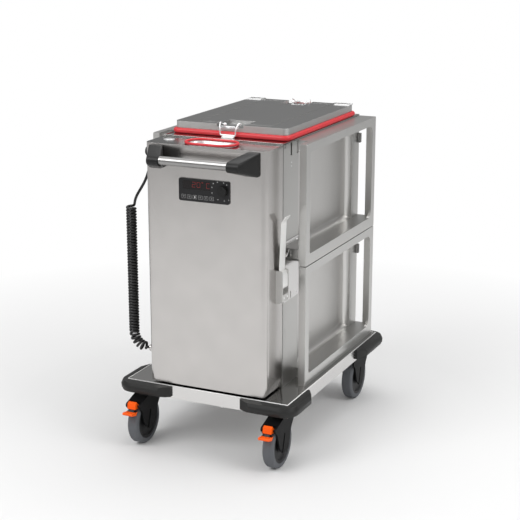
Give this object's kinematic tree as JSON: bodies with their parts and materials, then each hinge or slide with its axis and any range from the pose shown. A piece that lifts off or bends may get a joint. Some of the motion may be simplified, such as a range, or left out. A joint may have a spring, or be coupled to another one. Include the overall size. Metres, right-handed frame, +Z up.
{
  "type": "enclosed meal tray cart",
  "caption": "Insulated stainless meal tray cart on swivel casters with a thick hinged front door, push handle, control panel, curly mains cord, lift-off lid over a well and open side frames.",
  "frame": {"origin": "middle of the overall box on the floor", "axes": "+Z up, -Y the front with the door and the handle, +X the right side with the door latch"},
  "size_m": [0.656, 0.9424, 1.0991],
  "materials": {
    "pan_steel": "satin stainless sheet",
    "body_steel": "satin stainless sheet",
    "polished_steel": "polished stainless steel",
    "zinc_steel": "bright zinc",
    "black_rubber": "matte moulded rubber",
    "red_rubber": "soft silicone",
    "cord_rubber": "satin cord sheath",
    "grey_tyre": "non-marking rubber",
    "black_plastic": "moulded nylon",
    "dark_plastic": "moulded nylon",
    "orange_plastic": "moulded nylon",
    "lid_steel": "satin stainless sheet",
    "display_red": "tinted window",
    "key_plastic": "printed membrane"
  },
  "bodies": {
    "cart": {"base_pan": "pan_steel", "bumper_front_left": "black_rubber", "bumper_front_right": "black_rubber", "bumper_rear_left": "black_rubber", "bumper_rear_right": "black_rubber", "caster_plates": "zinc_steel", "body_shell": "body_steel", "body_liner": "body_steel", "tray_racks": "body_steel", "top_deck": "body_steel", "well_pan": "body_steel", "rear_stops": "black_rubber", "frame_lower_left": "body_steel", "frame_lower_right": "body_steel", "frame_upper_left": "body_steel", "frame_upper_right": "body_steel", "hinge_body_leaves": "pan_steel", "keeper_plate": "pan_steel", "lid_catches": "zinc_steel"},
    "door": {"door_shell": "polished_steel", "door_liner": "body_steel", "door_seal": "black_rubber", "fan_cover": "body_steel", "handle_bracket_left": "black_plastic", "handle_bracket_right": "black_plastic", "handle_tube": "polished_steel", "control_bezel": "black_plastic", "display_window": "display_red", "control_keys": "key_plastic", "latch_housing": "pan_steel", "vent_dish": "polished_steel", "vent_seal": "red_rubber", "vent_cap": "key_plastic", "hinge_door_leaves": "pan_steel", "cord_gland": "polished_steel", "cord_coil": "cord_rubber", "cord_tail": "cord_rubber", "cord_plug": "black_plastic", "plug_socket": "black_plastic"},
    "latch": {"latch_lever": "pan_steel"},
    "knob": {"control_knob": "black_plastic"},
    "lid_top": {"lid": "lid_steel", "lid_seal": "red_rubber", "lid_latch_mounts": "zinc_steel"},
    "front_bail": {"lid_bail_front": "zinc_steel"},
    "rear_bail": {"lid_bail_rear": "zinc_steel"},
    "fork_fl": {"caster_fork_fl": "black_plastic"},
    "wheel_fl": {"caster_tyre_fl": "grey_tyre", "caster_hub_fl": "dark_plastic"},
    "fork_fr": {"caster_fork_fr": "black_plastic"},
    "wheel_fr": {"caster_tyre_fr": "grey_tyre", "caster_hub_fr": "dark_plastic"},
    "fork_rl": {"caster_fork_rl": "black_plastic"},
    "wheel_rl": {"caster_tyre_rl": "grey_tyre", "caster_hub_rl": "dark_plastic"},
    "fork_rr": {"caster_fork_rr": "black_plastic"},
    "wheel_rr": {"caster_tyre_rr": "grey_tyre", "caster_hub_rr": "dark_plastic"},
    "brake_fl": {"brake_pedal_fl": "orange_plastic"},
    "brake_fr": {"brake_pedal_fr": "orange_plastic"}
  },
  "joints": [
    {"name": "door_hinge", "type": "hinge", "parent": "cart", "child": "door", "pos_m": [-0.226, -0.2508, 0.6], "axis": [0, 0, -1], "range_deg": [0, 95]},
    {"name": "latch_pivot", "type": "hinge", "parent": "door", "child": "latch", "pos_m": [0.23, -0.2753, 0.591], "axis": [0, 1, 0], "range_deg": [0, 50]},
    {"name": "knob_turn", "type": "hinge", "parent": "door", "child": "knob", "pos_m": [0.068, -0.3773, 0.907], "axis": [0, 1, 0], "range_deg": [-135, 135]},
    {"name": "lid_lift", "type": "slide", "parent": "cart", "child": "lid_top", "axis": [0, 0, 1], "range_m": [0, 0.25]},
    {"name": "front_bail_pivot", "type": "hinge", "parent": "lid_top", "child": "front_bail", "pos_m": [0, -0.1728, 1.083], "axis": [-1, 0, 0], "range_deg": [0, 100]},
    {"name": "rear_bail_pivot", "type": "hinge", "parent": "lid_top", "child": "rear_bail", "pos_m": [0, 0.3852, 1.083], "axis": [1, 0, 0], "range_deg": [0, 100]},
    {"name": "swivel_fl", "type": "hinge", "parent": "cart", "child": "fork_fl", "pos_m": [-0.25, -0.3108, 0.17], "axis": [0, 0, 1], "continuous": true},
    {"name": "wheel_turn_fl", "type": "hinge", "parent": "fork_fl", "child": "wheel_fl", "pos_m": [-0.25, -0.3608, 0.08], "axis": [1, 0, 0], "continuous": true},
    {"name": "swivel_fr", "type": "hinge", "parent": "cart", "child": "fork_fr", "pos_m": [0.25, -0.3108, 0.17], "axis": [0, 0, 1], "continuous": true},
    {"name": "wheel_turn_fr", "type": "hinge", "parent": "fork_fr", "child": "wheel_fr", "pos_m": [0.25, -0.3608, 0.08], "axis": [1, 0, 0], "continuous": true},
    {"name": "swivel_rl", "type": "hinge", "parent": "cart", "child": "fork_rl", "pos_m": [-0.25, 0.3842, 0.17], "axis": [0, 0, 1], "continuous": true},
    {"name": "wheel_turn_rl", "type": "hinge", "parent": "fork_rl", "child": "wheel_rl", "pos_m": [-0.25, 0.3342, 0.08], "axis": [1, 0, 0], "continuous": true},
    {"name": "swivel_rr", "type": "hinge", "parent": "cart", "child": "fork_rr", "pos_m": [0.25, 0.3842, 0.17], "axis": [0, 0, 1], "continuous": true},
    {"name": "wheel_turn_rr", "type": "hinge", "parent": "fork_rr", "child": "wheel_rr", "pos_m": [0.25, 0.3342, 0.08], "axis": [1, 0, 0], "continuous": true},
    {"name": "pedal_fl", "type": "hinge", "parent": "fork_fl", "child": "brake_fl", "pos_m": [-0.25, -0.4232, 0.1496], "axis": [1, 0, 0], "range_deg": [0, 10]},
    {"name": "pedal_fr", "type": "hinge", "parent": "fork_fr", "child": "brake_fr", "pos_m": [0.25, -0.4232, 0.1496], "axis": [1, 0, 0], "range_deg": [0, 10]}
  ]
}
